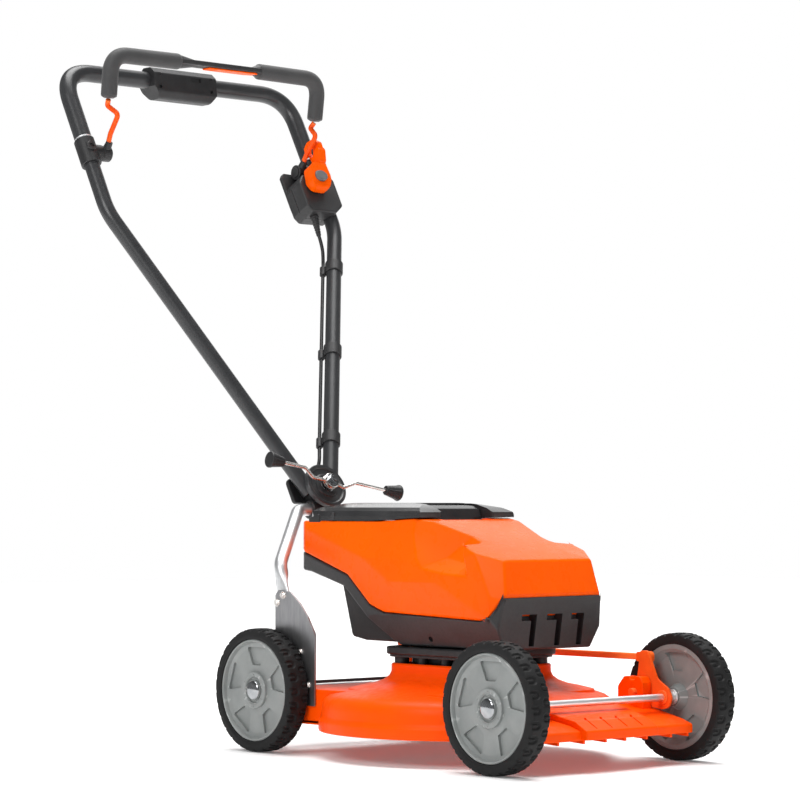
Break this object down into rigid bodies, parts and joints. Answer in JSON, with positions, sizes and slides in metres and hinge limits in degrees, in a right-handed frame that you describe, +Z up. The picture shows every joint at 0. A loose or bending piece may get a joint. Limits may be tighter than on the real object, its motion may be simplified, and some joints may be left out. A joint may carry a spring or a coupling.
{
  "type": "push lawn mower",
  "caption": "Battery push lawn mower with a round deck, height-adjustable wheels and a folding, centre-clamped handle with a bail bar.",
  "frame": {"origin": "on the ground under the centre of the mower's box", "axes": "+X to the mower's left side, +Y to the rear where the user walks, +Z up; the mower faces -Y"},
  "size_m": [0.516, 1.1154, 1.1324],
  "materials": {
    "tyre_rubber": "moulded tread",
    "rim_plastic": "satin grey",
    "chrome": "polished",
    "aluminium": "satin",
    "orange_steel": "powder coat",
    "black_plastic": "fine grain",
    "black_steel": "satin paint",
    "deck_paint": "gloss powder coat",
    "hood_plastic": "gloss",
    "dark_plastic": "fine grain",
    "steel": "brushed",
    "tube_paint": "satin powder coat"
  },
  "bodies": {
    "chassis": {"deck": "deck_paint", "rear_guard": "dark_plastic", "plate_left": "steel", "plate_right": "steel", "handle_arch": "aluminium", "motor_mount": "black_plastic", "motor": "steel", "housing_lower": "dark_plastic", "hood": "hood_plastic", "battery": "dark_plastic", "controller": "black_plastic"},
    "front_carriage": {"front_axle": "aluminium", "front_crank_left": "orange_steel", "front_crank_right": "orange_steel"},
    "rear_carriage": {"rear_axle": "aluminium", "rear_crank_left": "orange_steel", "rear_crank_right": "orange_steel", "height_lever": "orange_steel", "height_lever_knob": "black_plastic"},
    "link": {"link_rod": "orange_steel"},
    "rotor": {"motor_shaft": "steel", "blade": "steel", "blade_bolt": "steel"},
    "clamp": {"clamp_bracket": "black_steel", "clamp_bolt": "chrome", "control_cable_lower": "black_plastic"},
    "handle": {"clamp_disc": "tube_paint", "lower_tube_left": "tube_paint", "lower_tube_right": "tube_paint", "upper_tube": "tube_paint", "tube_knuckle_right": "black_plastic", "control_box": "dark_plastic", "console": "black_plastic", "strain_relief": "black_plastic", "control_cable_upper": "black_plastic", "cable_clip_1": "black_plastic", "cable_clip_2": "black_plastic", "cable_clip_3": "black_plastic"},
    "clamp_lever": {"wing_lever": "chrome", "lever_knob_left": "black_plastic", "lever_knob_right": "black_plastic"},
    "bail": {"bail_grip": "black_plastic", "bail_rod_left": "orange_steel", "bail_rod_right": "orange_steel"},
    "start_lever": {"start_lever": "hood_plastic"},
    "start_button": {"start_button": "dark_plastic"},
    "lid": {"lid": "black_plastic"},
    "latch": {"lid_latch": "black_plastic"},
    "wheel_front_left": {"tyre_front_left": "tyre_rubber", "rim_front_left": "rim_plastic", "hub_cap_front_left": "chrome"},
    "wheel_front_right": {"tyre_front_right": "tyre_rubber", "rim_front_right": "rim_plastic", "hub_cap_front_right": "chrome"},
    "wheel_rear_left": {"tyre_rear_left": "tyre_rubber", "rim_rear_left": "rim_plastic", "hub_cap_rear_left": "chrome"},
    "wheel_rear_right": {"tyre_rear_right": "tyre_rubber", "rim_rear_right": "rim_plastic", "hub_cap_rear_right": "chrome"}
  },
  "joints": [
    {"name": "height_adjust", "type": "hinge", "parent": "chassis", "child": "rear_carriage", "pos_m": [0, 0.1043, 0.102], "axis": [1, 0, 0], "range_deg": [-32, 7]},
    {"name": "front_height", "type": "hinge", "parent": "chassis", "child": "front_carriage", "pos_m": [0, -0.4237, 0.102], "axis": [1, 0, 0], "range_deg": [-32, 7]},
    {"name": "link_pivot", "type": "hinge", "parent": "front_carriage", "child": "link", "pos_m": [0.159, -0.4237, 0.153], "axis": [1, 0, 0], "range_deg": [-7, 32]},
    {"name": "blade_spin", "type": "hinge", "parent": "chassis", "child": "rotor", "pos_m": [0, -0.1987, 0.056], "axis": [0, 0, 1], "continuous": true},
    {"name": "handle_fold", "type": "hinge", "parent": "chassis", "child": "clamp", "pos_m": [0, 0.1463, 0.372], "axis": [1, 0, 0], "range_deg": [-12, 60], "deforming": ["control_cable_lower"]},
    {"name": "handle_swing", "type": "hinge", "parent": "clamp", "child": "handle", "pos_m": [0, 0.1538, 0.4015], "axis": [0, -0.8763, 0.4818], "range_deg": [-10, 10], "deforming": ["control_cable_upper"]},
    {"name": "clamp_lever_turn", "type": "hinge", "parent": "clamp", "child": "clamp_lever", "pos_m": [0, 0.1538, 0.4015], "axis": [0, 0.8763, -0.4818], "range_deg": [-35, 0]},
    {"name": "bail_press", "type": "hinge", "parent": "handle", "child": "bail", "pos_m": [0, 0.46019, 0.95883], "axis": [1, 0, 0], "range_deg": [-25, 0], "stiffness_Nm_per_rad": 1.2, "springref_deg": 20.05},
    {"name": "start_lever_pull", "type": "hinge", "parent": "handle", "child": "start_lever", "pos_m": [0.2075, 0.40333, 0.9239], "axis": [1, 0, 0], "range_deg": [0, 20], "stiffness_Nm_per_rad": 0.3, "springref_deg": -17.19},
    {"name": "start_button_press", "type": "slide", "parent": "start_lever", "child": "start_button", "axis": [0, 0.8763, -0.4818], "range_m": [0, 0.003], "stiffness_N_per_m": 150, "springref_m": -0.002},
    {"name": "lid_open", "type": "hinge", "parent": "chassis", "child": "lid", "pos_m": [0, 0.0593, 0.3555], "axis": [1, 0, 0], "range_deg": [-80, 0]},
    {"name": "latch_open", "type": "hinge", "parent": "lid", "child": "latch", "pos_m": [0, -0.1397, 0.373], "axis": [1, 0, 0], "range_deg": [-35, 0], "stiffness_Nm_per_rad": 0.05, "springref_deg": 17.19},
    {"name": "front_left_spin", "type": "hinge", "parent": "front_carriage", "child": "wheel_front_left", "pos_m": [0.189, -0.4627, 0.095], "axis": [1, 0, 0], "continuous": true},
    {"name": "front_right_spin", "type": "hinge", "parent": "front_carriage", "child": "wheel_front_right", "pos_m": [-0.189, -0.4627, 0.095], "axis": [1, 0, 0], "continuous": true},
    {"name": "rear_left_spin", "type": "hinge", "parent": "rear_carriage", "child": "wheel_rear_left", "pos_m": [0.189, 0.0653, 0.095], "axis": [1, 0, 0], "continuous": true},
    {"name": "rear_right_spin", "type": "hinge", "parent": "rear_carriage", "child": "wheel_rear_right", "pos_m": [-0.189, 0.0653, 0.095], "axis": [1, 0, 0], "continuous": true}
  ],
  "couplings": [
    {"joint": "front_height", "follows": "height_adjust", "ratio": 1},
    {"joint": "link_pivot", "follows": "height_adjust", "ratio": -1}
  ]
}
